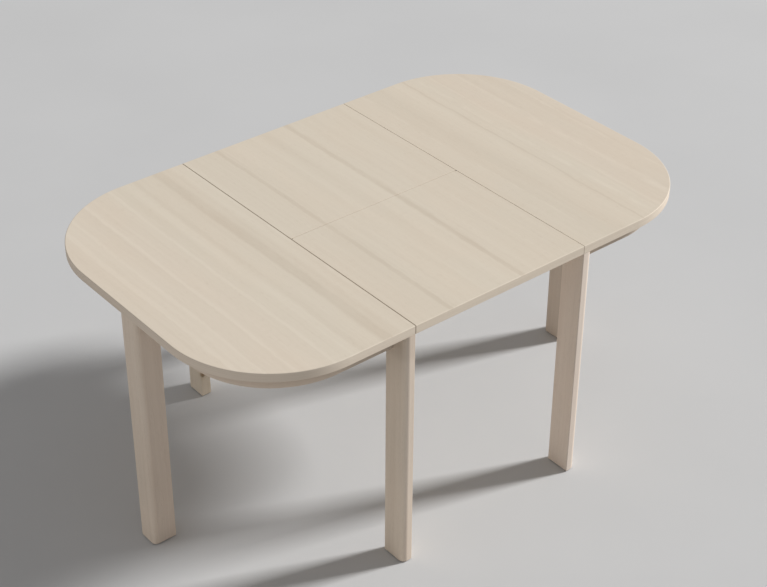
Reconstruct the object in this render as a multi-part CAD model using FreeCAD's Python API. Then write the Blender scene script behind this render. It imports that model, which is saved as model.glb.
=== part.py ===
import FreeCAD, Part
import os, math

# Butterfly leaf table: two half tops that slide apart on T-slot bars, and a
# leaf folded in two that swings up out of a well between the bars.
# Millimetres, +Z up. Origin on the floor, under the middle of the table.
# X runs along the length (the way the halves slide), Y across it.
# The stored state is the extended one, with the leaf lying flat in the top.

os.makedirs("parts", exist_ok=True)

# ---------------------------------------------------------------- dimensions
HEIGHT = 750.0          # floor to top surface
TOP_T = 25.0            # thickness of half tops and leaf panels
WIDTH = 1000.0          # across the table
GAP_HALF = 283.0        # seam face of each half, from the middle
LEAF_HALF = 282.0       # leaf end face, from the middle (1 mm seam)
X_END = 784.0           # straight end of each half
CORNER_R = 300.0        # corner radius of the half tops
EDGE_R = 2.0            # eased upper edge
EDGE_R_LOW = 1.2        # eased lower edge

APRON_INSET = 45.0      # outer face of the apron, in from the table edge
APRON_T = 16.0
APRON_H = 51.0

LEG_SEAM_X = 31.0       # seam leg: half of a 62 x 74 post
LEG_SEAM_Y = 74.0
LEG_END = 70.0          # end leg, square
LEG_END_IN = 3.0        # end leg, in from the straight end
LEG_R_OUT = 14.0        # rounding of the end legs' outward vertical edges
LEG_R_SEAM = 16.0       # rounding of the seam legs' one outward vertical edge
LEG_R_IN = 5.0          # rounding of the end legs' inward vertical edges
LEG_R_BACK = 1.5        # seam legs' inward edge beside the apron
GLIDE_T = 3.0

# slide bars: centre bar with a T tongue each side, one grooved bar per half
BAR_C_Y0, BAR_C_Y1 = 292.0, 314.0
BAR_C_HALF = 395.0
BAR_C_TOP = HEIGHT - 27.0
BAR_C_BOT = HEIGHT - 83.0
BAR_W = 22.0
BAR_GAP = 0.4
BAR_TOP = HEIGHT - TOP_T
BAR_BOT = BAR_TOP - 45.0
BAR_OUT_X = 665.0       # end under the half top
BAR_IN_X = 50.0         # other end, past the middle of the table
BAR_RELIEF = 1.5        # top lowered where the bar runs under the leaf
T_Z = 702.0             # height of the tongue's middle
T_NECK = 4.0            # half height of the tongue's neck
T_HEAD = 8.0            # half height of the tongue's head
T_NECK_L = 4.4
T_HEAD_L = 4.0
T_CLR = 0.4
STROKE = 28.0           # travel outward from the stored state
STOP_L = 15.0

CROSS_X0, CROSS_X1 = 200.0, 225.0
CROSS_Y = 318.0
CROSS_H = 23.0

# leaf lift: parallel arms
LEAF_GAP = 0.6          # each panel's hinge edge, from the middle
SWEEP = 155.0
DROP = 56.0
HINGE_E = 2.5           # leaf hinge pin, from the middle
HINGE_H = 2.4           # leaf hinge pin, below the top surface
HINGE_RISE = 5.4        # travel of the leaf hinge risers
SHIFT = (WIDTH / 2 + LEAF_GAP) / 2
CHORD = math.hypot(SHIFT, DROP)
ARM_R = CHORD / (2 * math.sin(math.radians(SWEEP / 2)))
ARM_A0 = 180.0 + math.degrees(math.atan2(DROP, SHIFT)) - 90.0 - SWEEP / 2
PIV_BELOW = 13.0        # moving pivots, below the panel's underside
B_Z = HEIGHT - TOP_T - PIV_BELOW
A_Z = B_Z - ARM_R * math.sin(math.radians(ARM_A0))
A_DY = ARM_R * math.cos(math.radians(ARM_A0))
B_Y = (35.0, 240.0)     # moving pivots on the far panel
A_Y = (B_Y[0] - A_DY, B_Y[1] - A_DY)
ARM_T = 5.0
ARM_W = 16.0
ARM_X0, ARM_X1 = 192.5, 197.5
PIN_R = 4.0
PIN_CLR = 0.08
TIE_AT = 40.0           # tie rod, along the arm from its fixed pivot
TIE_R = 5.0

V = FreeCAD.Vector
Z_TOP = HEIGHT
Z_UND = HEIGHT - TOP_T


def box(x0, x1, y0, y1, z0, z1):
    x0, x1 = min(x0, x1), max(x0, x1)
    y0, y1 = min(y0, y1), max(y0, y1)
    z0, z1 = min(z0, z1), max(z0, z1)
    return Part.makeBox(x1 - x0, y1 - y0, z1 - z0, V(x0, y0, z0))


def cyl(r, p, axis, h):
    return Part.makeCylinder(r, h, V(*p), V(*axis))


def cone(r0, r1, p, axis, h):
    return Part.makeCone(r0, r1, h, V(*p), V(*axis))


def mirror_x(s):
    return s.mirror(V(0, 0, 0), V(1, 0, 0))


def mirror_y(s):
    return s.mirror(V(0, 0, 0), V(0, 1, 0))


def group(solids):
    out = []
    for s in solids:
        out.extend(s.Solids)
    return Part.makeCompound(out) if len(out) > 1 else out[0]


def clean(s):
    """One solid where the shape is a single one."""
    s = s.removeSplitter()
    return s.Solids[0] if len(s.Solids) == 1 else s


def checked(out, what, r, es):
    if out.isNull() or not out.isValid() or not out.Solids:
        raise ValueError("%s %s failed on %d edges" % (what, r, len(es)))
    return out.Solids[0] if len(out.Solids) == 1 else out


def fillet_sel(s, r, test):
    es = []
    for e in s.Edges:
        pts = [v.Point for v in e.Vertexes]
        m = e.valueAt((e.FirstParameter + e.LastParameter) / 2)
        if test(e, pts, m):
            es.append(e)
    return checked(s.makeFillet(r, es), "fillet", r, es)


def chamfer_sel(s, r, test):
    es = []
    for e in s.Edges:
        pts = [v.Point for v in e.Vertexes]
        m = e.valueAt((e.FirstParameter + e.LastParameter) / 2)
        if test(e, pts, m):
            es.append(e)
    return checked(s.makeChamfer(r, es), "chamfer", r, es)


def near(a, b, tol=0.01):
    return abs(a - b) < tol


PARTS = {}

# ------------------------------------------------------------ right half top


def half_outline(inset, x_seam):
    """Face of a right half top's outline, moved in by inset."""
    r = CORNER_R - inset
    xe = X_END - inset
    ye = WIDTH / 2 - inset
    xc = X_END - CORNER_R
    yc = WIDTH / 2 - CORNER_R
    c = math.cos(math.radians(45)) * r
    edges = [
        Part.makeLine(V(x_seam, -ye, 0), V(xc, -ye, 0)),
        Part.Arc(V(xc, -ye, 0), V(xc + c, -yc - c, 0), V(xe, -yc, 0)).toShape(),
        Part.makeLine(V(xe, -yc, 0), V(xe, yc, 0)),
        Part.Arc(V(xe, yc, 0), V(xc + c, yc + c, 0), V(xc, ye, 0)).toShape(),
        Part.makeLine(V(xc, ye, 0), V(x_seam, ye, 0)),
        Part.makeLine(V(x_seam, ye, 0), V(x_seam, -ye, 0)),
    ]
    return Part.Face(Part.Wire(edges))


def slab():
    f = half_outline(0.0, GAP_HALF)
    f.translate(V(0, 0, Z_UND))
    s = f.extrude(V(0, 0, TOP_T))
    # upper and lower edges eased all the way round, but not along the seam
    s = fillet_sel(s, EDGE_R, lambda e, p, m: near(m.z, Z_TOP) and all(near(q.z, Z_TOP) for q in p)
                   and not (near(p[0].x, GAP_HALF) and near(p[-1].x, GAP_HALF)))
    s = fillet_sel(s, EDGE_R_LOW, lambda e, p, m: near(m.z, Z_UND) and all(near(q.z, Z_UND) for q in p)
                   and not (near(p[0].x, GAP_HALF) and near(p[-1].x, GAP_HALF)))
    s = chamfer_sel(s, 0.4, lambda e, p, m: near(m.z, Z_TOP) and near(m.x, GAP_HALF)
                    and abs(p[0].y - p[-1].y) > 900)
    return s


top_r = slab()

# ------------------------------------------------------------------- aprons


def apron_far():
    """Curved rail from the far seam leg to the end leg, right half."""
    out = half_outline(APRON_INSET, 0.0)
    inn = half_outline(APRON_INSET + APRON_T, -1.0)
    ring = out.cut(inn)
    ring.translate(V(0, 0, Z_UND - APRON_H))
    s = ring.extrude(V(0, 0, APRON_H))
    keep = box(GAP_HALF + LEG_SEAM_X, X_END, LEG_END / 2, WIDTH / 2, 0, HEIGHT)
    s = clean(s.common(keep))
    zb = Z_UND - APRON_H
    # lower edges eased, except the two short ends
    s = fillet_sel(s, 1.2, lambda e, p, m: near(m.z, zb) and e.Length > APRON_T + 1)
    return s


# --------------------------------------------------------------------- legs


def rounded_post(x0, x1, y0, y1, z0, z1, radii):
    """Post with a radius for each vertical edge: (x0y0, x1y0, x1y1, x0y1)."""
    s = box(x0, x1, y0, y1, z0, z1)
    for (x, y), r in zip(((x0, y0), (x1, y0), (x1, y1), (x0, y1)), radii):
        s = fillet_sel(s, r, lambda e, p, m: near(m.x, x) and near(m.y, y)
                       and abs(p[0].z - p[-1].z) > 100)
    s = chamfer_sel(s, 0.8, lambda e, p, m: near(m.z, z0) and all(near(q.z, z0) for q in p))
    return s


def leg_seam_far():
    return rounded_post(GAP_HALF, GAP_HALF + LEG_SEAM_X,
                        WIDTH / 2 - LEG_SEAM_Y, WIDTH / 2, GLIDE_T, Z_UND,
                        (1.2, LEG_R_BACK, LEG_R_SEAM, 1.2))


EL_X1 = X_END - LEG_END_IN
EL_X0 = EL_X1 - LEG_END


def leg_end():
    return rounded_post(EL_X0, EL_X1, -LEG_END / 2, LEG_END / 2, GLIDE_T, Z_UND,
                        (LEG_R_IN, LEG_R_OUT, LEG_R_OUT, LEG_R_IN))


def glide(x, y):
    """Round felt-faced glide on a short stem pressed into the leg."""
    d = Part.makeCylinder(13.0, GLIDE_T, V(x, y, 0))
    d = fillet_sel(d, 0.6, lambda e, p, m: near(m.z, 0) and e.Length > 50)
    st = Part.makeCylinder(2.5, 15.0, V(x, y, GLIDE_T - 0.5))
    return clean(d.fuse(st))


leg_f = leg_seam_far()
leg_e = leg_end()
GL_SEAM = (GAP_HALF + LEG_SEAM_X / 2, WIDTH / 2 - LEG_SEAM_Y / 2)
GL_END = ((EL_X0 + EL_X1) / 2, 0.0)
gl = [glide(*GL_SEAM), glide(GL_SEAM[0], -GL_SEAM[1]), glide(*GL_END)]
leg_f = leg_f.cut(gl[0])
leg_e = leg_e.cut(gl[2])

apron_f = apron_far()

# dowels between aprons and legs
AP_Y = WIDTH / 2 - APRON_INSET - APRON_T / 2
AP_X = X_END - APRON_INSET - APRON_T / 2
DOWEL_R = 4.0
dow_f = []
for z in (Z_UND - 16.0, Z_UND - 36.0):
    dow_f.append(cyl(DOWEL_R, (GAP_HALF + LEG_SEAM_X - 20, AP_Y, z), (1, 0, 0), 42.0))
    dow_f.append(cyl(DOWEL_R, (AP_X, LEG_END / 2 - 20, z), (0, 1, 0), 42.0))
dow_f = [chamfer_sel(d, 0.8, lambda e, p, m: len(e.Vertexes) == 1) for d in dow_f]
dow_n = [mirror_y(d) for d in dow_f]
for d in dow_f:
    leg_f = leg_f.cut(d)
    apron_f = apron_f.cut(d)
for d in dow_f + dow_n:
    leg_e = leg_e.cut(d)


# glue blocks in the corner of apron and top
def glue_block(x0, x1, y0, y1, cx, cy):
    """Square block with its free lower edge cut back; (cx, cy) points inward."""
    s = box(x0, x1, y0, y1, Z_UND - 20.0, Z_UND)

    def free_edge(e, p, m):
        if not near(m.z, Z_UND - 20.0):
            return False
        if cy:
            return near(m.y, y0 if cy < 0 else y1)
        return near(m.x, x0 if cx < 0 else x1)
    return chamfer_sel(s, 8.0, free_edge)


AP_YI = WIDTH / 2 - APRON_INSET - APRON_T
AP_XI = X_END - APRON_INSET - APRON_T
gb_f = [glue_block(372.0, 442.0, AP_YI - 20, AP_YI, 0, -1),
        glue_block(AP_XI - 20, AP_XI, 100.0, 170.0, -1, 0)]
gb = gb_f + [mirror_y(b) for b in gb_f]


# leg brackets: steel angles, one flange on the leg, one under the top
BR_T = 3.0


def angle_seam():
    y1 = WIDTH / 2 - LEG_SEAM_Y
    xa, xb = GAP_HALF + 4.5, GAP_HALF + LEG_SEAM_X - 6.0
    a = box(xa, xb, y1 - BR_T, y1, Z_UND - 46.0, Z_UND)
    b = box(xa, xb, y1 - 46.0, y1, Z_UND - BR_T, Z_UND)
    s = clean(a.fuse(b))
    s = fillet_sel(s, 5.0, lambda e, p, m: (near(m.x, xa) or near(m.x, xb)) and near(e.Length, BR_T)
                   and (near(m.z, Z_UND - 46.0) or near(m.y, y1 - 46.0)))
    s = fillet_sel(s, 2.0, lambda e, p, m: near(m.y, y1 - BR_T) and near(m.z, Z_UND - BR_T) and e.Length > 15)
    return s


def angle_end():
    a = box(EL_X0 - BR_T, EL_X0, -25, 25, Z_UND - 46.0, Z_UND)
    b = box(EL_X0 - 46.0, EL_X0, -25, 25, Z_UND - BR_T, Z_UND)
    s = clean(a.fuse(b))
    s = fillet_sel(s, 6.0, lambda e, p, m: near(abs(m.y), 25.0) and near(e.Length, BR_T)
                   and (near(m.z, Z_UND - 46.0) or near(m.x, EL_X0 - 46.0)))
    s = fillet_sel(s, 2.0, lambda e, p, m: near(m.x, EL_X0 - BR_T) and near(m.z, Z_UND - BR_T) and e.Length > 15)
    return s


def wood_screw(p, axis, length, r=2.0, head_r=4.0, head_h=2.2):
    """Pan-head screw. p is the head's seat, axis points into the wood."""
    ax = V(*axis)
    q = V(*p)
    shank = Part.makeCylinder(r, length - 3.0, q, ax)
    tip = Part.makeCone(r, 0.4, 3.0, q + ax * (length - 3.0), ax)
    head = Part.makeCylinder(head_r, head_h, q - ax * head_h, ax)
    top = q - ax * head_h
    head = fillet_sel(head, 0.9, lambda e, pp, m: len(e.Vertexes) == 1 and (m - top).dot(ax) < 0.01)
    s = clean(head.fuse(shank).fuse(tip))
    # hexagonal socket in the head
    ang = [math.radians(60 * i) for i in range(6)]
    ref = V(0, 0, 1) if abs(ax.z) < 0.5 else V(1, 0, 0)
    u = ax.cross(ref)
    w = ax.cross(u)
    pts = [top + (u * math.cos(a) + w * math.sin(a)) * 1.6 for a in ang]
    pts.append(pts[0])
    rec = Part.Face(Part.makePolygon(pts)).extrude(ax * 1.3)
    return s.cut(rec)


br_sf = angle_seam()
br_e = angle_end()
bx = (GAP_HALF + LEG_SEAM_X / 2) - 0.75
yb = WIDTH / 2 - LEG_SEAM_Y - BR_T
scr_sf = [wood_screw((bx, yb, Z_UND - 18.0), (0, 1, 0), 15.0),
          wood_screw((bx, yb, Z_UND - 36.0), (0, 1, 0), 15.0),
          wood_screw((bx, yb - 14.0, Z_UND - BR_T), (0, 0, 1), 19.0),
          wood_screw((bx, yb - 34.0, Z_UND - BR_T), (0, 0, 1), 19.0)]
scr_e = []
for y in (-14.0, 14.0):
    scr_e.append(wood_screw((EL_X0 - BR_T, y * 0.7, Z_UND - 18.0), (1, 0, 0), 28.0))
    scr_e.append(wood_screw((EL_X0 - BR_T, y * 0.55, Z_UND - 36.0), (1, 0, 0), 28.0))
    scr_e.append(wood_screw((EL_X0 - 20.0, y, Z_UND - BR_T), (0, 0, 1), 19.0))
    scr_e.append(wood_screw((EL_X0 - 37.0, y * 0.9, Z_UND - BR_T), (0, 0, 1), 19.0))
for s in scr_sf:
    br_sf = br_sf.cut(s)
    leg_f = leg_f.cut(s)
for s in scr_e:
    br_e = br_e.cut(s)
    leg_e = leg_e.cut(s)
scr_sn = [mirror_y(s) for s in scr_sf]
leg_screws = scr_sf + scr_sn + scr_e

# --------------------------------------------------------------- slide bars
# The far outer bar belongs to the left half, the far inner bar to the right
# half; the near side is the mirror image in Y.


def t_solid(y_face, out, x0, x1, clr=0.0, over=0.0):
    """T tongue standing on a vertical face at y_face, pointing out (+1/-1)."""
    n = box(x0, x1, y_face - over * out, y_face + out * (T_NECK_L + 0.05),
            T_Z - T_NECK - clr, T_Z + T_NECK + clr)
    h = box(x0, x1, y_face + out * (T_NECK_L - clr), y_face + out * (T_NECK_L + T_HEAD_L + clr),
            T_Z - T_HEAD - clr, T_Z + T_HEAD + clr)
    return n.fuse(h)


def centre_bar():
    s = box(-BAR_C_HALF, BAR_C_HALF, BAR_C_Y0, BAR_C_Y1, BAR_C_BOT, BAR_C_TOP)
    # outer tongue guides the left half's bar, inner tongue the right half's
    x_stop = BAR_IN_X - STOP_L - STROKE - 0.5
    s = s.fuse(t_solid(BAR_C_Y1, 1, -BAR_C_HALF, x_stop, 0.0, 1.0))
    s = s.fuse(t_solid(BAR_C_Y0, -1, -x_stop, BAR_C_HALF, 0.0, 1.0))
    s = clean(s)
    s = chamfer_sel(s, 1.0, lambda e, p, m: e.Length > 700 and (near(m.z, BAR_C_TOP) or near(m.z, BAR_C_BOT)))
    return s


def half_bar(y0, y1, groove_face, out, side):
    """Grooved bar under a half top. side -1 for the left half, +1 right."""
    xo, xi = side * BAR_OUT_X, -side * BAR_IN_X
    s = box(xo, xi, y0, y1, BAR_BOT, BAR_TOP)
    s = chamfer_sel(s, 1.5, lambda e, p, m: near(m.z, BAR_BOT) and e.Length > 500)
    # lowered where it runs on under the leaf
    s = s.cut(box(side * (GAP_HALF + 1.0), xi - side * 1.0, y0 - 1, y1 + 1, BAR_TOP - BAR_RELIEF, BAR_TOP + 1))
    cut = t_solid(groove_face, out, xo + side * 1.0, xi - side * 1.0, T_CLR, 1.5)
    s = clean(s.cut(cut))
    return s


YL0, YL1 = BAR_C_Y1 + BAR_GAP, BAR_C_Y1 + BAR_GAP + BAR_W      # outer bar
YR0, YR1 = BAR_C_Y0 - BAR_GAP - BAR_W, BAR_C_Y0 - BAR_GAP      # inner bar
bar_l_far = half_bar(YL0, YL1, BAR_C_Y1, 1, -1)
bar_r_far = half_bar(YR0, YR1, BAR_C_Y0, -1, 1)
centre_far = centre_bar()


def stop_block(y_face, bar_y, out, side):
    """Block filling the groove at the bar's inner end."""
    x1 = -side * BAR_IN_X
    x0 = -side * (BAR_IN_X - STOP_L)
    s = t_solid(y_face, out, x0, x1, T_CLR, 0.0)
    return clean(s.common(box(x0, x1, bar_y, bar_y + out * 40, 0, HEIGHT)))


stop_l_far = stop_block(BAR_C_Y1, YL0, 1, -1)
stop_r_far = stop_block(BAR_C_Y0, YR1, -1, 1)

SCREW_Y_OUT = YL1 - 6.8
SCREW_Y_IN = YR0 + 6.8
BAR_SCREW_X = (320.0, 425.0, 530.0, 640.0)
bs_l, bs_r = [], []
for x in BAR_SCREW_X:
    for y, sgn, lst in ((SCREW_Y_OUT, -1, bs_l), (SCREW_Y_IN, 1, bs_r)):
        lst.append(wood_screw((sgn * x, y, BAR_BOT + 22.0), (0, 0, 1), 38.0, 2.0, 4.0, 2.4))
for s, x in zip(bs_l, BAR_SCREW_X):
    bore = cyl(4.4, (-x, SCREW_Y_OUT, BAR_BOT - 1), (0, 0, 1), 23.0)
    bar_l_far = bar_l_far.cut(bore).cut(s)
for s, x in zip(bs_r, BAR_SCREW_X):
    bore = cyl(4.4, (x, SCREW_Y_IN, BAR_BOT - 1), (0, 0, 1), 23.0)
    bar_r_far = bar_r_far.cut(bore).cut(s)
bs_l = bs_l + [mirror_y(s) for s in bs_l]
bs_r = bs_r + [mirror_y(s) for s in bs_r]

# screw holes in the half top
for s in leg_screws + bs_r:
    if s.BoundBox.ZMax > Z_UND + 1:
        top_r = top_r.cut(s)
top_l = mirror_x(slab())
for s in [mirror_x(q) for q in leg_screws] + bs_l:
    if s.BoundBox.ZMax > Z_UND + 1:
        top_l = top_l.cut(s)

# ------------------------------------------------------------- centre frame


def crossbar():
    s = box(CROSS_X0, CROSS_X1, -CROSS_Y, CROSS_Y, BAR_C_BOT - CROSS_H, BAR_C_BOT)
    s = fillet_sel(s, 2.0, lambda e, p, m: near(m.z, BAR_C_BOT - CROSS_H) and e.Length > 500)
    s = fillet_sel(s, 4.0, lambda e, p, m: near(abs(m.y), CROSS_Y) and near(abs(p[0].x - p[-1].x), 0)
                   and near(p[0].y, p[-1].y) and abs(p[0].z - p[-1].z) > 15)
    return s


cross_r = crossbar()
PIN_IN = 22.0


def fixed_pin(y):
    """Shoulder pin set in the crossbar: shoulder, journal and head."""
    sh = cyl(7.0, (ARM_X1 + 0.3, y, A_Z), (1, 0, 0), CROSS_X0 - ARM_X1 - 0.3)
    sh2 = cyl(PIN_R, (CROSS_X0, y, A_Z), (1, 0, 0), PIN_IN)
    j = cyl(PIN_R, (ARM_X0 - 0.3, y, A_Z), (1, 0, 0), CROSS_X0 - ARM_X0 + 0.3)
    hd = cyl(7.0, (ARM_X0 - 0.3 - 2.5, y, A_Z), (1, 0, 0), 2.5)
    hd = chamfer_sel(hd, 0.6, lambda e, p, m: near(m.x, ARM_X0 - 2.8) and e.Length > 20)
    s = clean(sh.fuse(sh2).fuse(j).fuse(hd))
    slot = box(ARM_X0 - 2.9, ARM_X0 - 1.9, y - 8, y + 8, A_Z - 0.6, A_Z + 0.6)
    return s.cut(slot)


pins_r = [fixed_pin(y) for y in A_Y]
for p in pins_r:
    cross_r = cross_r.cut(p)

cross_screws_r = []
for y in (-(BAR_C_Y0 + BAR_C_Y1) / 2, (BAR_C_Y0 + BAR_C_Y1) / 2):
    for x in (CROSS_X0 + 6.5, CROSS_X1 - 6.5):
        cross_screws_r.append(wood_screw((x, y, BAR_C_BOT - CROSS_H), (0, 0, 1), 60.0, 2.4, 4.6, 2.2))
cross_screws = cross_screws_r + [mirror_x(s) for s in cross_screws_r]
for s in cross_screws_r:
    cross_r = cross_r.cut(s)
centre_near = mirror_y(centre_far)
for s in cross_screws:
    centre_far = centre_far.cut(s)
    centre_near = centre_near.cut(s)
cross_l = mirror_x(cross_r)

PAD_T = 1.7


def pad(x0, x1, y0, y1, z):
    s = box(x0, x1, y0, y1, z, z + PAD_T)
    return fillet_sel(s, 3.0, lambda e, p, m: near(abs(p[0].z - p[-1].z), PAD_T))


leaf_pads = []
for x in (-230.0, -80.0, 80.0, 230.0):
    for s in (-1, 1):
        y0, y1 = sorted((s * (BAR_C_Y0 + 3), s * (BAR_C_Y1 - 3)))
        leaf_pads.append(pad(x - 20, x + 20, y0, y1, BAR_C_TOP))
stow_pads = []
for sx in (-1, 1):
    for y in (-150.0, 150.0):
        x0, x1 = sorted((sx * (CROSS_X0 + 4), sx * (CROSS_X1 - 4)))
        stow_pads.append(pad(x0, x1, y - 20, y + 20, BAR_C_BOT))

# ---------------------------------------------------------------- lift arms
CA, SA = math.cos(math.radians(ARM_A0)), math.sin(math.radians(ARM_A0))


def arm(ya):
    """Flat steel bar with round ends and two pivot holes, right-hand side."""
    h = ARM_W / 2
    a = V(ARM_X0, ya, A_Z)
    b = V(ARM_X0, ya + ARM_R * CA, A_Z + ARM_R * SA)
    n = V(0, -SA, CA) * h
    d = V(0, CA, SA) * h
    e = [Part.makeLine(a + n, b + n),
         Part.Arc(b + n, b + d, b - n).toShape(),
         Part.makeLine(b - n, a - n),
         Part.Arc(a - n, a - d, a + n).toShape()]
    s = Part.Face(Part.Wire(e)).extrude(V(ARM_T, 0, 0))
    s = chamfer_sel(s, 0.5, lambda e, p, m: near(m.x, ARM_X0) or near(m.x, ARM_X1))
    for q in (a, b):
        s = s.cut(cyl(PIN_R + PIN_CLR, (ARM_X0 - 1, q.y, q.z), (1, 0, 0), ARM_T + 2))
    return s


arm_a = arm(A_Y[0])
arm_b = arm(A_Y[1])
tie = cyl(TIE_R, (-ARM_X0, A_Y[0] + TIE_AT * CA, A_Z + TIE_AT * SA), (1, 0, 0), 2 * ARM_X0)

# -------------------------------------------------------------- leaf panels


def leaf_far():
    s = box(-LEAF_HALF, LEAF_HALF, LEAF_GAP, WIDTH / 2, Z_UND, Z_TOP)
    s = fillet_sel(s, EDGE_R, lambda e, p, m: near(m.z, Z_TOP) and near(m.y, WIDTH / 2) and e.Length > 500)
    s = fillet_sel(s, EDGE_R_LOW, lambda e, p, m: near(m.z, Z_UND) and near(m.y, WIDTH / 2) and e.Length > 500)
    s = fillet_sel(s, 1.0, lambda e, p, m: (near(m.z, Z_UND) or near(m.z, Z_TOP))
                   and near(m.y, LEAF_GAP) and e.Length > 500)
    s = chamfer_sel(s, 0.4, lambda e, p, m: near(m.z, Z_TOP) and near(abs(m.x), LEAF_HALF) and e.Length > 400)
    return s


# Rising-pivot hinge let into each end of the leaf. A slotted riser runs up and
# down on two studs of the far plate and carries the near plate's pin, so that
# the near panel comes to lie on the far one, top face to top face.
MORT_X = 277.0
PLATE_T = 2.0
RISER_X0, RISER_X1 = 279.3, 280.9
HEAD_X0, HEAD_X1 = 281.2, 281.7
PIN_Y, PIN_Z = -HINGE_E, Z_TOP - HINGE_H
HP_R = 0.9              # hinge pin
SHANK_Y = 3.7           # middle of the riser's shank
STUD_R = 1.0
STUD_Z = (Z_TOP - 15.25, Z_TOP - 10.35)


def mortise_far():
    a = box(MORT_X, LEAF_HALF + 1, -1.0, 8.0, Z_TOP - 24.0, Z_TOP - 2.0)
    b = box(MORT_X, LEAF_HALF + 1, 7.0, 48.0, Z_TOP - 11.0, Z_TOP - 4.0)
    s = clean(a.fuse(b))
    return fillet_sel(s, 2.5, lambda e, p, m: near(m.y, 48.0) and near(p[0].z, p[-1].z)
                      and abs(p[0].x - p[-1].x) > 2)


def mortise_near():
    a = box(MORT_X, LEAF_HALF + 1, -4.9, 1.0, Z_TOP - 12.6, Z_TOP + 1)
    b = box(MORT_X, LEAF_HALF + 1, -48.0, -4.0, Z_TOP - 11.0, Z_TOP - 4.0)
    s = clean(a.fuse(b))
    return fillet_sel(s, 2.5, lambda e, p, m: near(m.y, -48.0) and near(p[0].z, p[-1].z)
                      and abs(p[0].x - p[-1].x) > 2)


def plate_far():
    """Far plate at the +X end, without its studs."""
    x0 = MORT_X
    a = box(x0, x0 + PLATE_T, 1.1, 8.0, Z_TOP - 23.0, Z_TOP - 2.4)
    b = box(x0, x0 + PLATE_T, 7.0, 48.0, Z_TOP - 11.0, Z_TOP - 4.0)
    s = clean(a.fuse(b))
    s = fillet_sel(s, 2.5, lambda e, p, m: near(m.y, 48.0) and abs(p[0].x - p[-1].x) > 1 and near(p[0].z, p[-1].z))
    return fillet_sel(s, 1.0, lambda e, p, m: near(m.y, 1.1) and abs(p[0].x - p[-1].x) > 1)


def plate_near():
    x0 = MORT_X
    a = box(x0, x0 + PLATE_T, -4.9, -1.1, Z_TOP - 12.2, Z_TOP - 0.3)
    b = box(x0, x0 + PLATE_T, -48.0, -4.0, Z_TOP - 11.0, Z_TOP - 4.0)
    s = clean(a.fuse(b))
    s = fillet_sel(s, 2.5, lambda e, p, m: near(m.y, -48.0) and abs(p[0].x - p[-1].x) > 1 and near(p[0].z, p[-1].z))
    return fillet_sel(s, 1.0, lambda e, p, m: near(m.y, -1.1) and near(m.z, Z_TOP - 0.3)
                      and abs(p[0].x - p[-1].x) > 1)


def headed_stud(r, head_r, y, z):
    """Shaft riveted through the plate, with a flat head over the riser."""
    s = cyl(r, (MORT_X, y, z), (1, 0, 0), HEAD_X1 - MORT_X)
    return clean(s.fuse(cyl(head_r, (HEAD_X0, y, z), (1, 0, 0), HEAD_X1 - HEAD_X0)))


def csk_screw(p, axis, length, r=1.25, head_r=2.4, head_h=1.3):
    ax = V(*axis)
    q = V(*p)
    head = Part.makeCone(head_r, r, head_h, q, ax)
    sh = Part.makeCylinder(r, length - 2.0, q, ax)
    tip = Part.makeCone(r, 0.3, 2.0, q + ax * (length - 2.0), ax)
    s = clean(head.fuse(sh).fuse(tip))
    slot = box(q.x - 0.5, q.x + 0.5, q.y - 2.6, q.y + 2.6, q.z - 0.25, q.z + 0.25)
    return s.cut(slot)


def riser():
    """Slotted shank, foot across the joint, neck and eye for the pin."""
    x0, x1 = RISER_X0, RISER_X1
    s = box(x0, x1, SHANK_Y - 2.5, SHANK_Y + 2.5, Z_TOP - 23.0, Z_TOP - 8.0)
    s = s.fuse(box(x0, x1, PIN_Y - 1.5, SHANK_Y, Z_TOP - 12.0, Z_TOP - 9.0))
    s = s.fuse(box(x0, x1, PIN_Y - 1.5, PIN_Y + 1.5, Z_TOP - 12.0, PIN_Z))
    s = clean(s.fuse(cyl(1.9, (x0, PIN_Y, PIN_Z), (1, 0, 0), x1 - x0)))
    s = fillet_sel(s, 0.8, lambda e, p, m: abs(p[0].x - p[-1].x) > 1 and near(p[0].z, p[-1].z)
                   and near(p[0].y, p[-1].y) and (near(abs(m.y - SHANK_Y), 2.5)
                   and (near(m.z, Z_TOP - 23.0) or near(m.z, Z_TOP - 8.0))
                   or near(m.y, PIN_Y - 1.5) and near(m.z, Z_TOP - 12.0)))
    z0, z1 = STUD_Z[0] - HINGE_RISE - 0.05, STUD_Z[1] + 0.05
    r = STUD_R + 0.05
    s = s.cut(box(x0 - 1, x1 + 1, SHANK_Y - r, SHANK_Y + r, z0, z1))
    for z in (z0, z1):
        s = s.cut(cyl(r, (x0 - 1, SHANK_Y, z), (1, 0, 0), 4.0))
    s = s.cut(cyl(HP_R + 0.05, (x0 - 1, PIN_Y, PIN_Z), (1, 0, 0), 4.0))
    return clean(s)


hp_f = plate_far()
hp_n = plate_near()
hs_f = [csk_screw((MORT_X + PLATE_T, y, Z_TOP - 7.5), (-1, 0, 0), 16.0) for y in (20.0, 38.0)]
hs_n = [mirror_y(s) for s in hs_f]
studs_r = [headed_stud(STUD_R, 1.7, SHANK_Y, z) for z in STUD_Z]
hpin_r = headed_stud(HP_R, 1.6, PIN_Y, PIN_Z)
for s in hs_f + studs_r:
    hp_f = hp_f.cut(s)
for s in hs_n + [hpin_r]:
    hp_n = hp_n.cut(s)
riser_r = riser()

panel_f = leaf_far()
panel_n = mirror_y(panel_f)
panel_f = panel_f.cut(mortise_far()).cut(mirror_x(mortise_far()))
panel_n = panel_n.cut(mortise_near()).cut(mirror_x(mortise_near()))
for s in hs_f:
    panel_f = panel_f.cut(s).cut(mirror_x(s))
for s in hs_n:
    panel_n = panel_n.cut(s).cut(mirror_x(s))

# ------------------------------------------------- brackets under the leaf
EAR_X0, EAR_X1 = 188.3, 191.3


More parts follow.
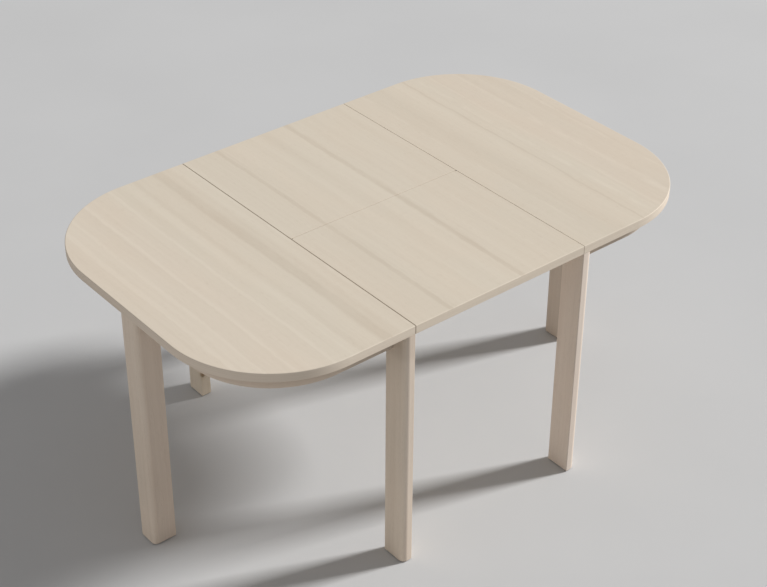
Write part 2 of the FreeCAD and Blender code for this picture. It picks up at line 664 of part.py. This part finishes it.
def lift_bracket(yb):
    """Steel angle: flange under the panel, ear down to the moving pivot."""
    fl = box(158.0, EAR_X1, yb - 22.0, yb + 22.0, Z_UND - 3.0, Z_UND)
    fl = fillet_sel(fl, 6.0, lambda e, p, m: near(m.x, 158.0) and near(abs(p[0].z - p[-1].z), 3.0))
    y0, y1 = yb - 9.0, yb + 9.0
    ear = box(EAR_X0, EAR_X1, y0, y1, B_Z, Z_UND)
    ear = ear.fuse(cyl(9.0, (EAR_X0, yb, B_Z), (1, 0, 0), EAR_X1 - EAR_X0))
    s = clean(fl.fuse(ear))
    return s


def moving_pin(yb):
    """Pin through ear and arm, head inside, groove end outside."""
    j = cyl(PIN_R, (EAR_X0, yb, B_Z), (1, 0, 0), 198.9 - EAR_X0)
    hd = cyl(6.5, (EAR_X0 - 2.5, yb, B_Z), (1, 0, 0), 2.5)
    hd = chamfer_sel(hd, 0.6, lambda e, p, m: near(m.x, EAR_X0 - 2.5) and e.Length > 20)
    s = clean(j.fuse(hd))
    gr = cyl(PIN_R + 1, (197.85, yb, B_Z), (1, 0, 0), 0.7).cut(cyl(3.2, (197.0, yb, B_Z), (1, 0, 0), 3.0))
    return clean(s.cut(gr))


def pin_clip(yb):
    c = cyl(6.0, (197.85, yb, B_Z), (1, 0, 0), 0.7).cut(cyl(3.2, (197.0, yb, B_Z), (1, 0, 0), 3.0))
    c = c.cut(box(197.0, 199.5, yb - 1.6, yb + 1.6, B_Z - 8.0, B_Z))
    return clean(c)


brk, brs, mpins, clips = [], [], [], []
for yb in B_Y:
    b = lift_bracket(yb)
    p = moving_pin(yb)
    sc = [wood_screw((168.0, yb + d, Z_UND - 3.0), (0, 0, 1), 18.0) for d in (-13.0, 13.0)]
    b = b.cut(p)
    for s in sc:
        b = b.cut(s)
        panel_f = panel_f.cut(s).cut(mirror_x(s))
    brk.append(b)
    brs += sc
    mpins.append(p)
    clips.append(pin_clip(yb))


def both(lst):
    return group(lst + [mirror_x(s) for s in lst])


# ------------------------------------------------------------------- output
for side, f in (("left", mirror_x), ("right", lambda s: s)):
    PARTS["top_" + side] = top_l if side == "left" else top_r
    PARTS["apron_%s_far" % side] = f(apron_f)
    PARTS["apron_%s_near" % side] = f(mirror_y(apron_f))
    PARTS["leg_%s_far" % side] = f(leg_f)
    PARTS["leg_%s_near" % side] = f(mirror_y(leg_f))
    PARTS["leg_%s_end" % side] = f(leg_e)
    PARTS["glides_" + side] = group([f(g) for g in gl])
    PARTS["dowels_" + side] = group([f(d) for d in dow_f + dow_n])
    PARTS["glue_blocks_" + side] = group([f(b) for b in gb])
    PARTS["leg_brackets_" + side] = group([f(b) for b in (br_sf, mirror_y(br_sf), br_e)])
    PARTS["leg_screws_" + side] = group([f(s) for s in leg_screws])

PARTS["slide_bar_left_far"] = bar_l_far
PARTS["slide_bar_left_near"] = mirror_y(bar_l_far)
PARTS["slide_bar_right_far"] = bar_r_far
PARTS["slide_bar_right_near"] = mirror_y(bar_r_far)
PARTS["slide_stops_left"] = group([stop_l_far, mirror_y(stop_l_far)])
PARTS["slide_stops_right"] = group([stop_r_far, mirror_y(stop_r_far)])
PARTS["slide_screws_left"] = group(bs_l)
PARTS["slide_screws_right"] = group(bs_r)

PARTS["centre_bar_far"] = centre_far
PARTS["centre_bar_near"] = centre_near
PARTS["crossbar_left"] = cross_l
PARTS["crossbar_right"] = cross_r
PARTS["crossbar_screws"] = group(cross_screws)
PARTS["leaf_rest_pads"] = group(leaf_pads)
PARTS["stow_pads"] = group(stow_pads)
PARTS["arm_fixed_pins"] = both(pins_r)

PARTS["lift_arms_inner"] = both([arm_a])
PARTS["lift_tie_rod"] = tie
PARTS["lift_arms_outer"] = both([arm_b])

PARTS["leaf_panel_far"] = panel_f
PARTS["lift_brackets"] = both(brk)
PARTS["lift_bracket_screws"] = both(brs)
PARTS["lift_pins"] = both(mpins)
PARTS["lift_pin_clips"] = both(clips)
PARTS["leaf_hinge_plates_far"] = both([hp_f])
PARTS["leaf_hinge_screws_far"] = both(hs_f)
PARTS["leaf_hinge_studs"] = both(studs_r)
PARTS["leaf_hinge_risers"] = both([riser_r])
PARTS["leaf_panel_near"] = panel_n
PARTS["leaf_hinge_plates_near"] = both([hp_n])
PARTS["leaf_hinge_screws_near"] = both(hs_n)
PARTS["leaf_hinge_pins"] = both([hpin_r])

for name, shape in PARTS.items():
    if len(shape.Solids) == 1 and shape.ShapeType != "Solid":
        shape = shape.Solids[0]
    if not shape.isValid():
        print("invalid shape:", name)
    shape.exportStep("parts/%s.step" % name)
    print(name, len(shape.Solids), round(shape.Volume, 1))
print("pivots: A_Y %s A_Z %.4f B_Y %s B_Z %.4f R %.4f A0 %.4f" % (A_Y, A_Z, B_Y, B_Z, ARM_R, ARM_A0))
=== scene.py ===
import math
import bpy
from mathutils import Matrix, Vector

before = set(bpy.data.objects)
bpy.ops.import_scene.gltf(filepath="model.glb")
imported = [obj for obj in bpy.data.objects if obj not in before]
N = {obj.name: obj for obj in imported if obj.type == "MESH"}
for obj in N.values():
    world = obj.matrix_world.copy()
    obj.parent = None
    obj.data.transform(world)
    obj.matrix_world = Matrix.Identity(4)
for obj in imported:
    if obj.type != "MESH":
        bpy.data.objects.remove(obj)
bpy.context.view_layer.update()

# ------------------------------------------------------------------ camera
cam_data = bpy.data.cameras.new("camera")
cam = bpy.data.objects.new("camera", cam_data)
bpy.context.scene.collection.objects.link(cam)
cam_data.sensor_fit = "HORIZONTAL"
cam_data.sensor_width = 36.0
cam_data.lens = 36.0 * 1736.485 / 767.0
cam_data.clip_start = 0.05
cam_data.clip_end = 200.0
R = Vector((0.77446539, -0.63260021, 0.00450974))
U = Vector((0.35088951, 0.43548881, 0.82899098))
F = Vector((0.52638381, 0.6404424, -0.55924378))
LOC = Vector((-2.50006556, -3.07541067, 3.1344362))
m = Matrix.Identity(4)
for i in range(3):
    m[i][0], m[i][1], m[i][2], m[i][3] = R[i], U[i], -F[i], LOC[i]
cam.matrix_world = m
bpy.context.scene.camera = cam


# ------------------------------------------------------------- node helpers
class Tree:
    """Short names for building a material's node tree."""

    def __init__(self, name):
        self.mat = bpy.data.materials.new(name)
        self.mat.use_nodes = True
        self.nt = self.mat.node_tree
        self.nt.nodes.clear()
        self.out = self.nt.nodes.new("ShaderNodeOutputMaterial")
        self.bsdf = self.nt.nodes.new("ShaderNodeBsdfPrincipled")
        self.nt.links.new(self.bsdf.outputs[0], self.out.inputs[0])

    def link(self, a, b):
        self.nt.links.new(a, b)

    def node(self, kind):
        return self.nt.nodes.new(kind)

    def put(self, socket, value):
        if isinstance(value, bpy.types.NodeSocket):
            self.link(value, socket)
        elif value is not None:
            socket.default_value = value

    def math(self, op, a, b=None, c=None, clamp=False):
        n = self.node("ShaderNodeMath")
        n.operation = op
        n.use_clamp = clamp
        self.put(n.inputs[0], a)
        if b is not None:
            self.put(n.inputs[1], b)
        if c is not None:
            self.put(n.inputs[2], c)
        return n.outputs[0]

    def coords(self):
        n = self.node("ShaderNodeTexCoord")
        return n.outputs["Object"]

    def split(self, v):
        n = self.node("ShaderNodeSeparateXYZ")
        self.link(v, n.inputs[0])
        return n.outputs[0], n.outputs[1], n.outputs[2]

    def join(self, x, y, z):
        n = self.node("ShaderNodeCombineXYZ")
        self.put(n.inputs[0], x)
        self.put(n.inputs[1], y)
        self.put(n.inputs[2], z)
        return n.outputs[0]

    def scaled(self, u, g, w, su, sg, sw):
        return self.join(self.math("MULTIPLY", u, su), self.math("MULTIPLY", g, sg),
                         self.math("MULTIPLY", w, sw))

    def noise(self, vec, detail=3.0, rough=0.55, distort=0.0, scale=1.0):
        n = self.node("ShaderNodeTexNoise")
        n.noise_dimensions = "3D"
        self.link(vec, n.inputs["Vector"])
        n.inputs["Scale"].default_value = scale
        n.inputs["Detail"].default_value = detail
        n.inputs["Roughness"].default_value = rough
        n.inputs["Distortion"].default_value = distort
        return n.outputs["Fac"]

    def ramp(self, fac, stops, interp="LINEAR"):
        n = self.node("ShaderNodeValToRGB")
        n.color_ramp.interpolation = interp
        while len(n.color_ramp.elements) < len(stops):
            n.color_ramp.elements.new(0.5)
        for e, (p, c) in zip(n.color_ramp.elements, stops):
            e.position = p
            e.color = (c, c, c, 1) if isinstance(c, (int, float)) else tuple(c) + (1,)
        self.link(fac, n.inputs[0])
        return n.outputs[0]

    def smooth(self, v, lo, hi, a=0.0, b=1.0):
        n = self.node("ShaderNodeMapRange")
        n.interpolation_type = "SMOOTHSTEP"
        self.put(n.inputs["Value"], v)
        n.inputs["From Min"].default_value = lo
        n.inputs["From Max"].default_value = hi
        n.inputs["To Min"].default_value = a
        n.inputs["To Max"].default_value = b
        return n.outputs[0]

    def mix(self, fac, a, b, blend="MIX"):
        n = self.node("ShaderNodeMix")
        n.data_type = "RGBA"
        n.blend_type = blend
        n.clamp_result = False
        self.put(n.inputs[0], fac)
        self.put(n.inputs[6], tuple(a) + (1,) if isinstance(a, tuple) and len(a) == 3 else a)
        self.put(n.inputs[7], tuple(b) + (1,) if isinstance(b, tuple) and len(b) == 3 else b)
        return n.outputs[2]

    def bump(self, height, strength, distance, normal=None):
        n = self.node("ShaderNodeBump")
        n.inputs["Strength"].default_value = strength
        n.inputs["Distance"].default_value = distance
        self.link(height, n.inputs["Height"])
        if normal is not None:
            self.link(normal, n.inputs["Normal"])
        return n.outputs[0]

    def edge_mask(self, radius):
        """1 on sharp or small-radius edges, 0 on flats."""
        b = self.node("ShaderNodeBevel")
        b.samples = 6
        b.inputs["Radius"].default_value = radius
        g = self.node("ShaderNodeNewGeometry")
        d = self.node("ShaderNodeVectorMath")
        d.operation = "DOT_PRODUCT"
        self.link(b.outputs[0], d.inputs[0])
        self.link(g.outputs["Normal"], d.inputs[1])
        return self.smooth(d.outputs["Value"], 0.995, 0.86)


AXES = {"Y": (0, 1, 2), "Z": (0, 2, 1), "X": (1, 0, 2)}


def wood(name, axis, light, dark, warm, pore, bands=(), rough=(0.66, 0.80), seed=(0.0, 0.0, 0.0),
         pores=0.55, streak=1.0, edge=0.25, bump=0.10, wave=0.006, ripple=0.0, tint_amount=0.30,
         fade=0.0, lines=(), dark_spots=(), side=None, tone_and_shade_ramps=()):
    """Long-grained board. u and w run across the grain, g along it."""
    t = Tree(name)
    xyz = t.split(t.coords())
    if axis == "H":
        # rail bent in plan: across the grain is height, along it is both x and y
        u = t.math("ADD", xyz[2], seed[0])
        g = t.math("ADD", t.math("SUBTRACT", xyz[0], xyz[1]), seed[1])
        w = t.math("ADD", t.math("MULTIPLY", xyz[0], 0.02), seed[2])
    else:
        a = AXES[axis]
        u = t.math("ADD", xyz[a[0]], seed[0])
        g = t.math("ADD", xyz[a[1]], seed[1])
        w = t.math("ADD", xyz[a[2]], seed[2])
    # slow wander of the grain
    wob = t.noise(t.scaled(u, g, w, 7.0, 2.6, 7.0), 2.0, 0.5)
    wob2 = t.noise(t.scaled(u, g, w, 30.0, 14.0, 30.0), 2.0, 0.5)
    du = t.math("ADD", t.math("MULTIPLY", t.math("SUBTRACT", wob, 0.5), wave * 3.0),
                t.math("MULTIPLY", t.math("SUBTRACT", wob2, 0.5), wave * 0.5))
    if ripple:
        rip = t.noise(t.scaled(u, g, w, 55.0, 24.0, 55.0), 3.0, 0.6)
        du = t.math("ADD", du, t.math("MULTIPLY", t.math("SUBTRACT", rip, 0.5), ripple))
    us = t.math("ADD", u, du)

    broad = t.noise(t.scaled(us, g, w, 9.0, 0.45, 9.0), 3.0, 0.5)
    medium = t.noise(t.scaled(us, g, w, 46.0, 0.9, 46.0), 4.0, 0.62)
    fine = t.noise(t.scaled(us, g, w, 230.0, 3.2, 230.0), 4.0, 0.65)
    hair = t.noise(t.scaled(us, g, w, 900.0, 14.0, 900.0), 2.0, 0.6)
    vessel = t.noise(t.scaled(us, g, w, 1500.0, 42.0, 1500.0), 1.0, 0.5)
    clump = t.noise(t.scaled(us, g, w, 60.0, 5.0, 60.0), 2.0, 0.5)

    f = t.math("MULTIPLY", t.smooth(broad, 0.30, 0.72), 0.30 * streak)
    f = t.math("ADD", f, t.math("MULTIPLY", t.smooth(medium, 0.34, 0.74), 0.34 * streak))
    f = t.math("ADD", f, t.math("MULTIPLY", t.smooth(fine, 0.35, 0.72), 0.22 * streak))
    f = t.math("ADD", f, t.math("MULTIPLY", t.math("SUBTRACT", hair, 0.5), 0.22))
    f = t.math("ADD", f, 0.06)
    if bands:
        # each band comes and goes a little along its length
        come = t.smooth(t.noise(t.scaled(u, g, w, 22.0, 6.0, 22.0), 3.0, 0.6), 0.30, 0.60, 1.0 - fade, 1.0)
        hard = t.smooth(t.noise(t.scaled(u, g, w, 40.0, 11.0, 40.0), 2.0, 0.6), 0.40, 0.58)
    for x0, half, soft, amount in bands:
        d = t.math("ABSOLUTE", t.math("SUBTRACT", us, x0))
        ragged = t.math("ADD", d, t.math("MULTIPLY", t.math("SUBTRACT", fine, 0.5), soft * 0.9))
        b = t.smooth(ragged, half + soft, half, 0.0, amount)
        f = t.math("ADD", f, t.math("MULTIPLY", b, hard if abs(amount) < 0.135 and half < 0.004 else come))
    f = t.math("MINIMUM", t.math("MAXIMUM", f, 0.0), 1.4)
    color = t.mix(f, light, dark)
    tint = t.smooth(t.noise(t.scaled(us, g, w, 7.0, 2.4, 7.0), 3.0, 0.55), 0.36, 0.66, 0.0, tint_amount)
    color = t.mix(tint, color, t.mix(1.0, color, warm, "MULTIPLY"))
    # open pores: short dark dashes, denser in some bands
    pm = t.math("MULTIPLY", t.smooth(vessel, 0.60, 0.70), t.smooth(clump, 0.36, 0.62, 0.25, 1.0))
    pm = t.math("MULTIPLY", pm, pores)
    color = t.mix(pm, color, t.mix(1.0, color, pore, "MULTIPLY"))
    # a round darker spot with a darker middle, used on the far left leg near the foot
    for kx, ky, kz, kr in dark_spots:
        dist = t.node("ShaderNodeVectorMath")
        dist.operation = "DISTANCE"
        t.link(t.join(xyz[0], xyz[1], t.math("MULTIPLY", xyz[2], 0.8)), dist.inputs[0])
        dist.inputs[1].default_value = (kx, ky, kz * 0.8)
        kd = t.math("ADD", dist.outputs["Value"], t.math("MULTIPLY", t.math("SUBTRACT", fine, 0.5), kr * 0.5))
        ring = t.math("MULTIPLY", t.smooth(kd, kr * 1.9, kr * 1.0), 0.35)
        color = t.mix(ring, color, t.mix(1.0, color, (0.80, 0.72, 0.62), "MULTIPLY"))
        core = t.smooth(kd, kr * 1.05, kr * 0.45)
        color = t.mix(core, color, t.mix(1.0, color, (0.50, 0.42, 0.33), "MULTIPLY"))
    if side:
        # lipping glued round the edge of the top: its own long grain follows the edge; its tone is partly the
        # lipping's own colour, partly painted shade on the edge faces
        along = t.math("SUBTRACT", xyz[0], xyz[1])
        lm = t.noise(t.scaled(xyz[2], along, xyz[0], 90.0, 1.1, 3.0), 3.0, 0.6)
        lf = t.noise(t.scaled(xyz[2], along, xyz[0], 620.0, 5.0, 9.0), 3.0, 0.62)
        fs = t.math("ADD", t.math("MULTIPLY", t.smooth(lm, 0.32, 0.70), 0.20),
                    t.math("MULTIPLY", t.smooth(lf, 0.35, 0.70), 0.20))
        lip = t.mix(1.0, t.mix(t.math("ADD", fs, 0.10), light, dark), side, "MULTIPLY")
        where = t.math("MULTIPLY", t.smooth(xyz[2], 0.7484, 0.7474), t.smooth(xyz[2], 0.7252, 0.7260))
        color = t.mix(where, color, lip)
    # joints between boards: the arris and the faces just inside the gap are darker, partly the joint's own
    # darker end grain, partly painted shade of the gap
    for axis_i, at, half, soft, k in lines:
        d = t.math("ABSOLUTE", t.math("SUBTRACT", xyz[axis_i], at))
        line = t.smooth(d, half + soft, half, 0.0, k)
        if axis_i == 1:
            line = t.math("MULTIPLY", line, t.smooth(xyz[0], -0.03, -0.14, 0.25, 1.0))
            line = t.math("MULTIPLY", line, t.smooth(t.noise(t.scaled(xyz[0], xyz[1], xyz[2], 60.0, 9.0, 9.0),
                                                             3.0, 0.6), 0.35, 0.62, 0.55, 1.0))
        color = t.mix(line, color, t.mix(1.0, color, (0.40, 0.35, 0.30), "MULTIPLY"))
    for axis_i, start, end, tone in tone_and_shade_ramps:
        # slow change of tone over a part, across the grain or along it: on the top it is the wood's own tone; on
        # the legs and the rail it is painted light and shade (darker or cooler faces, darker just under the top,
        # lighter towards the foot or higher up)
        color = t.mix(t.smooth(xyz[axis_i], start, end), color, t.mix(1.0, color, tone, "MULTIPLY"))
    if edge:
        em = t.math("MULTIPLY", t.edge_mask(0.0022), edge)
        color = t.mix(em, color, t.mix(1.0, color, (1.16, 1.14, 1.11), "MULTIPLY"))
    t.link(color, t.bsdf.inputs["Base Color"])
    r = t.math("ADD", t.math("MULTIPLY", fine, rough[1] - rough[0]), rough[0])
    r = t.math("ADD", r, t.math("MULTIPLY", pm, 0.12))
    t.link(r, t.bsdf.inputs["Roughness"])
    t.bsdf.inputs["Specular IOR Level"].default_value = 0.26
    h = t.math("ADD", t.math("MULTIPLY", fine, 0.5), t.math("MULTIPLY", hair, 0.35))
    h = t.math("SUBTRACT", h, t.math("MULTIPLY", pm, 0.9))
    t.link(t.bump(h, bump, 0.0006), t.bsdf.inputs["Normal"])
    return t.mat


def metal(name, base, spot, rough, grain=0.0, metallic=1.0, edge=0.0, edge_color=(0.8, 0.8, 0.8),
          bump=0.05, scale=260.0, spec=0.5):
    t = Tree(name)
    c = t.coords()
    x, y, z = t.split(c)
    n1 = t.noise(c, 4.0, 0.6, 0.0, scale * 0.12)
    n2 = t.noise(c, 3.0, 0.6, 0.0, scale)
    n3 = t.noise(c, 2.0, 0.5, 0.0, scale * 5.0)
    f = t.smooth(n1, 0.35, 0.68)
    color = t.mix(t.math("MULTIPLY", f, 0.7), base, spot)
    color = t.mix(t.math("MULTIPLY", t.smooth(n2, 0.55, 0.75), 0.35), color, spot)
    if edge:
        em = t.math("MULTIPLY", t.edge_mask(0.0008), edge)
        em = t.math("MULTIPLY", em, t.smooth(n2, 0.30, 0.60, 0.3, 1.0))
        color = t.mix(em, color, edge_color)
    t.link(color, t.bsdf.inputs["Base Color"])
    t.bsdf.inputs["Metallic"].default_value = metallic
    t.bsdf.inputs["Specular IOR Level"].default_value = spec
    r = t.math("ADD", t.math("MULTIPLY", n2, rough[1] - rough[0]), rough[0])
    r = t.math("ADD", r, t.math("MULTIPLY", f, 0.08))
    t.link(r, t.bsdf.inputs["Roughness"])
    h = t.math("ADD", t.math("MULTIPLY", n2, 0.6), t.math("MULTIPLY", n3, 0.4))
    t.link(t.bump(h, bump, 0.0004), t.bsdf.inputs["Normal"])
    return t.mat


def felt(name, base, dark):
    t = Tree(name)
    c = t.coords()
    fibre = t.noise(c, 5.0, 0.75, 1.2, 1900.0)
    blot = t.noise(c, 3.0, 0.5, 0.0, 160.0)
    f = t.math("ADD", t.math("MULTIPLY", t.smooth(fibre, 0.35, 0.68), 0.7), t.math("MULTIPLY", blot, 0.3))
    t.link(t.mix(f, dark, base), t.bsdf.inputs["Base Color"])
    t.link(t.math("ADD", t.math("MULTIPLY", fibre, 0.10), 0.88), t.bsdf.inputs["Roughness"])
    t.bsdf.inputs["Specular IOR Level"].default_value = 0.2
    t.bsdf.inputs["Sheen Weight"].default_value = 0.25
    t.link(t.bump(fibre, 0.5, 0.0006), t.bsdf.inputs["Normal"])
    return t.mat


# --------------------------------------------------------------- materials
OAK_L = (0.735, 0.662, 0.548)
OAK_D = (0.560, 0.480, 0.377)
OAK_W = (1.03, 0.975, 0.945)
OAK_P = (0.70, 0.64, 0.58)

# long streaks of the top's grain: middle, half width, soft edge, strength (dark above 0)
TOP_BANDS = (
    (-0.7560, 0.0012, 0.005, 0.07),
    (-0.7217, 0.0025, 0.009, -0.20),
    (-0.7040, 0.0040, 0.010, -0.08),
    (-0.6775, 0.0015, 0.006, -0.17),
    (-0.6133, 0.0016, 0.006, -0.22),
    (-0.5250, 0.0018, 0.006, -0.22),
    (-0.5120, 0.0010, 0.005, -0.05),
    (-0.5080, 0.0120, 0.016, 0.05),
    (-0.4650, 0.0060, 0.014, -0.06),
    (-0.4433, 0.0030, 0.010, 0.15),
    (-0.4290, 0.0060, 0.012, 0.06),
    (-0.3680, 0.0095, 0.011, 0.30),
    (-0.3390, 0.0080, 0.016, 0.15),
    (-0.2860, 0.0030, 0.009, -0.12),
    (-0.1690, 0.0035, 0.007, 0.33),
    (-0.1560, 0.0010, 0.005, 0.10),
    (-0.0060, 0.0060, 0.020, 0.07),
    (0.0690, 0.0038, 0.007, 0.40),
    (0.0800, 0.0008, 0.005, 0.10),
    (0.3100, 0.0110, 0.016, 0.07),
    (0.3900, 0.0250, 0.055, 0.15),
    (0.3500, 0.0010, 0.005, -0.12),
    (0.5040, 0.0014, 0.004, 0.28),
    (0.5450, 0.0030, 0.009, -0.13),
    (0.5860, 0.0018, 0.006, -0.14),
    (0.6050, 0.0200, 0.016, 0.10),
    (0.6520, 0.0030, 0.009, -0.11),
    (0.6700, 0.0020, 0.008, 0.10),
    (0.6950, 0.0140, 0.016, 0.06),
    (0.7350, 0.0140, 0.014, 0.13),
    (0.7430, 0.0020, 0.007, -0.12),
)

# axis, place, half width, soft edge, amount
# dark lines at the left seam and along the leaf's hinge: partly joint colour, partly painted shade of the gap
SEAMS = ((0, -0.2825, 0.0012, 0.0014, 0.42),)
HINGE = ((1, 0.0, 0.0009, 0.0010, 0.07),)

TOP_L = (0.723, 0.652, 0.545)
TOP_D = (0.551, 0.472, 0.375)
# edge-face tones, darker on the leaf: partly the lipping's own colour, partly painted shade on the edge faces
BAND = (0.990, 0.967, 0.965)
BAND_LEAF = (0.964, 0.941, 0.935)
oak_top = wood("oak_top", "Y", TOP_L, TOP_D, OAK_W, OAK_P, bands=TOP_BANDS, streak=0.34, pores=0.30,
               ripple=0.0095, fade=0.35, tint_amount=0.24, lines=SEAMS, side=BAND,
               tone_and_shade_ramps=((0, -0.49, -0.58, (1.012, 0.999, 1.0)), (0, 0.56, 0.60, (1.012, 0.999, 1.0))))
oak_leaf = wood("oak_leaf", "Y", TOP_L, TOP_D, OAK_W, OAK_P, bands=TOP_BANDS, streak=0.34, pores=0.30,
                ripple=0.0095, fade=0.35, tint_amount=0.24, lines=SEAMS + HINGE, side=BAND_LEAF)


def toned(r, g, b):
    k = (r, g, b)
    return (tuple(c * q for c, q in zip(OAK_L, k)), tuple(c * q for c, q in zip(OAK_D, k)), OAK_W, OAK_P)


# every leg has its own overall tone: partly board-to-board colour, partly painted light and shade set leg by leg
# seed, tone, then its ramps of painted light and shade: axis, where the ramp starts and ends, its tone
LEG_TONES = {
    # leg_left_near: the cooler -Y face, lighter towards the foot and darker just under the top, is painted light
    # and shade
    "leg_left_near": ((3.1, 1.7, 5.3), (0.995, 0.962, 0.962),
                      ((1, -0.4955, -0.4985, (1.00, 1.00, 1.02)), (2, 0.44, 0.14, (1.05, 1.05, 1.05)),
                       (2, 0.640, 0.668, (0.92, 0.91, 0.90)))),
    # leg_left_end: the darker -Y side is painted shade and the lighter foot is painted light
    "leg_left_end": ((7.7, 4.2, 2.9), (1.048, 1.006, 1.018),
                     ((0, -0.770, -0.764, (0.930, 0.915, 0.915)), (2, 0.22, 0.04, (1.11, 1.11, 1.11)))),
    "leg_left_far": ((5.2, 9.1, 1.3), (1.080, 1.052, 1.034), ()),
    # leg_right_near: the darker, cooler -Y face is painted shade and the lighter upper part is painted light
    "leg_right_near": ((1.4, 6.6, 8.8), (1.122, 1.083, 1.126),
                       ((1, -0.4955, -0.4985, (0.925, 0.940, 0.962)), (2, 0.40, 0.56, (1.05, 1.05, 1.05)))),
    "leg_right_end": ((9.3, 2.8, 6.1), (0.855, 0.808, 0.815), ()),
    "leg_right_far": ((4.4, 7.3, 3.7), (1.000, 0.958, 0.958), ()),
}
legs = {}
for leg, (seed, k, tone_and_shade_ramps) in LEG_TONES.items():
    legs[leg] = wood("oak_" + leg, "Z", *toned(*k), seed=seed, streak=0.62, pores=0.38, edge=0.15, tone_and_shade_ramps=tone_and_shade_ramps,
                     dark_spots=((-0.3075, 0.4260, 0.0805, 0.0105),) if leg == "leg_left_far" else ())
# the rail's overall tone is partly its own colour, partly painted shade; its ramps are painted shade: darker
# towards the top, under the overhang, and darker from x = -0.42 on, beside the left seam leg and along all of
# the right half
oak_rail = wood("oak_rail", "H", *toned(0.940, 0.897, 0.905), seed=(2.2, 6.1, 0.0), streak=0.7, pores=0.4,
                edge=0.15, tone_and_shade_ramps=((2, 0.677, 0.697, (0.86, 0.84, 0.83)), (0, -0.50, -0.42, (0.84, 0.84, 0.83))))

BEECH_L = (0.640, 0.455, 0.285)
BEECH_D = (0.450, 0.285, 0.155)
BEECH_W = (1.05, 0.95, 0.88)
BEECH_P = (0.55, 0.45, 0.38)
beech_x = wood("beech_x", "X", BEECH_L, BEECH_D, BEECH_W, BEECH_P, seed=(1.3, 2.4, 0.7), streak=0.85,
               pores=0.7, rough=(0.60, 0.74), edge=0.3)
beech_y = wood("beech_y", "Y", BEECH_L, BEECH_D, BEECH_W, BEECH_P, seed=(4.9, 0.4, 3.1), streak=0.85,
               pores=0.7, rough=(0.60, 0.74), edge=0.3)

zinc = metal("zinc_plated", (0.60, 0.61, 0.62), (0.42, 0.43, 0.45), (0.24, 0.42), edge=0.25,
             edge_color=(0.75, 0.75, 0.74), scale=320.0)
black = metal("black_powder_coat", (0.022, 0.022, 0.024), (0.035, 0.035, 0.037), (0.42, 0.58), metallic=0.0,
              edge=0.35, edge_color=(0.12, 0.12, 0.12), bump=0.35, scale=700.0)
sand = metal("sand_powder_coat", (0.60, 0.525, 0.42), (0.55, 0.48, 0.385), (0.45, 0.60), metallic=0.0,
             edge=0.45, edge_color=(0.42, 0.40, 0.38), bump=0.30, scale=900.0)
felt_grey = felt("felt_grey", (0.105, 0.098, 0.092), (0.030, 0.028, 0.027))


def finish_for(name):
    if name.startswith("top_"):
        return oak_top
    if name.startswith("leaf_panel"):
        return oak_leaf
    if name.startswith("apron_"):
        return oak_rail
    if name.startswith("leg_screws") or name.startswith("leg_brackets"):
        return zinc
    if name.startswith("leg_"):
        return legs[name]
    if name.startswith("glue_blocks") or name.startswith("crossbar_left") or name.startswith("crossbar_right"):
        return beech_y
    if name.startswith(("slide_bar", "slide_stops", "centre_bar", "dowels")):
        return beech_x
    if "pads" in name or name.startswith("glides"):
        return felt_grey
    if name in ("leaf_hinge_plates_far", "leaf_hinge_plates_near", "leaf_hinge_risers"):
        return sand
    if name in ("lift_arms_inner", "lift_arms_outer", "lift_tie_rod", "lift_brackets", "lift_pin_clips"):
        return black
    return zinc


for name, obj in N.items():
    mat = finish_for(name)
    if not obj.material_slots:
        obj.data.materials.append(mat)
    for s in obj.material_slots:
        s.material = mat

# ------------------------------------------------------------ floor, lights
t = Tree("floor_pale")
c = t.coords()
n1 = t.noise(c, 3.0, 0.5, 0.0, 1.3)
t.link(t.mix(t.smooth(n1, 0.3, 0.7), (0.570, 0.574, 0.580), (0.588, 0.592, 0.598)), t.bsdf.inputs["Base Color"])
t.bsdf.inputs["Roughness"].default_value = 0.85
t.bsdf.inputs["Specular IOR Level"].default_value = 0.2
me = bpy.data.meshes.new("floor")
me.from_pydata([(-30, -30, 0), (30, -30, 0), (30, 30, 0), (-30, 30, 0)], [], [(0, 1, 2, 3)])
me.materials.append(t.mat)
floor = bpy.data.objects.new("floor", me)
bpy.context.scene.collection.objects.link(floor)

world = bpy.data.worlds.new("studio")
bpy.context.scene.world = world
world.use_nodes = True
bg = world.node_tree.nodes["Background"]
bg.inputs[0].default_value = (0.98, 0.972, 0.972, 1)
bg.inputs[1].default_value = 0.305


def area(name, loc, target, size, power, color):
    d = bpy.data.lights.new(name, "AREA")
    d.shape = "RECTANGLE"
    d.size, d.size_y = size
    d.energy = power
    d.color = color
    o = bpy.data.objects.new(name, d)
    bpy.context.scene.collection.objects.link(o)
    o.location = loc
    v = Vector(target) - Vector(loc)
    o.rotation_euler = v.to_track_quat("-Z", "Y").to_euler()
    return o


area("key", (64.78, -23.58, 41.1), (0, 0, 0.5), (11.0, 11.0), 79000.0, (1.0, 0.992, 0.98))
area("left_fill", (-7.0, 1.4, 1.8), (0, 0, 0.45), (4.0, 2.0), 50.0, (1.0, 0.965, 0.93))

bpy.context.scene.view_settings.view_transform = "Standard"
